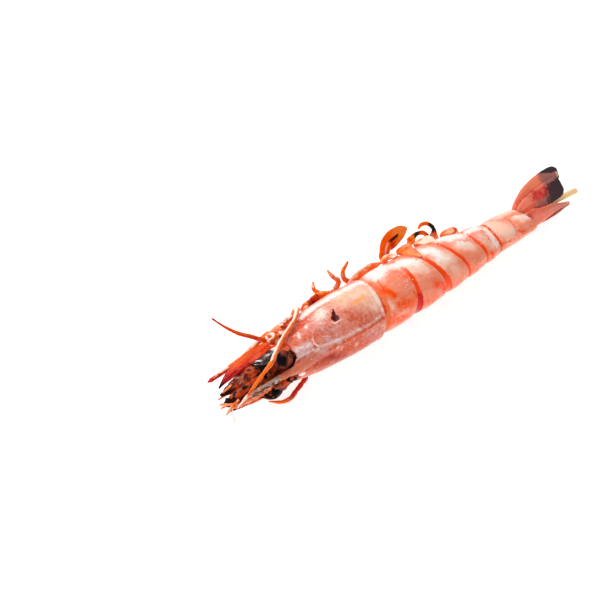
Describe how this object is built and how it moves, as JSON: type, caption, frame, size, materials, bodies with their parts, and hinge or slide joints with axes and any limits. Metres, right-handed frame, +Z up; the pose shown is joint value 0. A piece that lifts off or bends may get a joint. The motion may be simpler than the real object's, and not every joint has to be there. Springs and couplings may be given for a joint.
{
  "type": "grilled tiger prawn on skewer",
  "caption": "Whole grilled prawn in its shell, with head, feelers, legs, ringed tail and tail fan, held straight by a bamboo skewer.",
  "frame": {"origin": "the middle of the underside of the object's box, on the table", "axes": "+X along the skewer from the head towards the tail, +Y towards the belly and the legs, +Z up; the prawn lies on its left side with its back towards -Y"},
  "size_m": [0.21, 0.0416, 0.0382],
  "materials": {
    "shell": "thin cooked shell, salmon pink with a pale crest, moist gloss",
    "tail": "cooked shell plates, salmon with orange-red bands and pale salted flanks, moist gloss",
    "flesh": "cooked flesh under the shell, orange pink",
    "leg": "orange cooked shell, browned at the ends",
    "antenna": "deep orange-red shell",
    "char": "charred brown-black shell, flaky",
    "eye": "black, wet",
    "membrane": "blue-grey wet membrane",
    "fan": "coral shell, mauve towards the end",
    "charred_fan": "salmon shell with a charcoal-grey burnt patch",
    "bamboo": "pale round bamboo, dry"
  },
  "bodies": {
    "root": {"carapace": "shell", "thorax": "flesh", "tail_plate_1": "tail", "tail_plate_2": "tail", "tail_plate_3": "tail", "tail_plate_4": "tail", "tail_plate_5": "tail", "tail_plate_6": "tail", "eye_right": "eye", "eye_left": "eye", "scale_right": "antenna", "scale_left": "antenna", "antenna_right": "antenna", "antenna_left": "antenna", "antennule_right": "char", "antennule_left": "char", "feeler_base": "membrane", "jaw_leg_right": "leg", "leg_right_1": "leg", "leg_right_2": "leg", "leg_right_3": "leg", "leg_right_4": "leg", "leg_right_5": "leg", "swimmeret_right_1": "leg", "swimmeret_right_2": "leg", "swimmeret_right_3": "leg", "swimmeret_right_4": "leg", "swimmeret_right_5": "leg", "jaw_leg_left": "leg", "leg_left_1": "leg", "leg_left_2": "leg", "leg_left_3": "leg", "leg_left_4": "leg", "leg_left_5": "leg", "swimmeret_left_1": "leg", "swimmeret_left_2": "leg", "swimmeret_left_3": "leg", "swimmeret_left_4": "leg", "swimmeret_left_5": "leg", "telson": "fan", "uropod_left_inner": "fan", "uropod_left_outer": "fan", "uropod_right_inner": "charred_fan", "uropod_right_outer": "charred_fan", "skewer": "bamboo"}
  },
  "joints": []
}
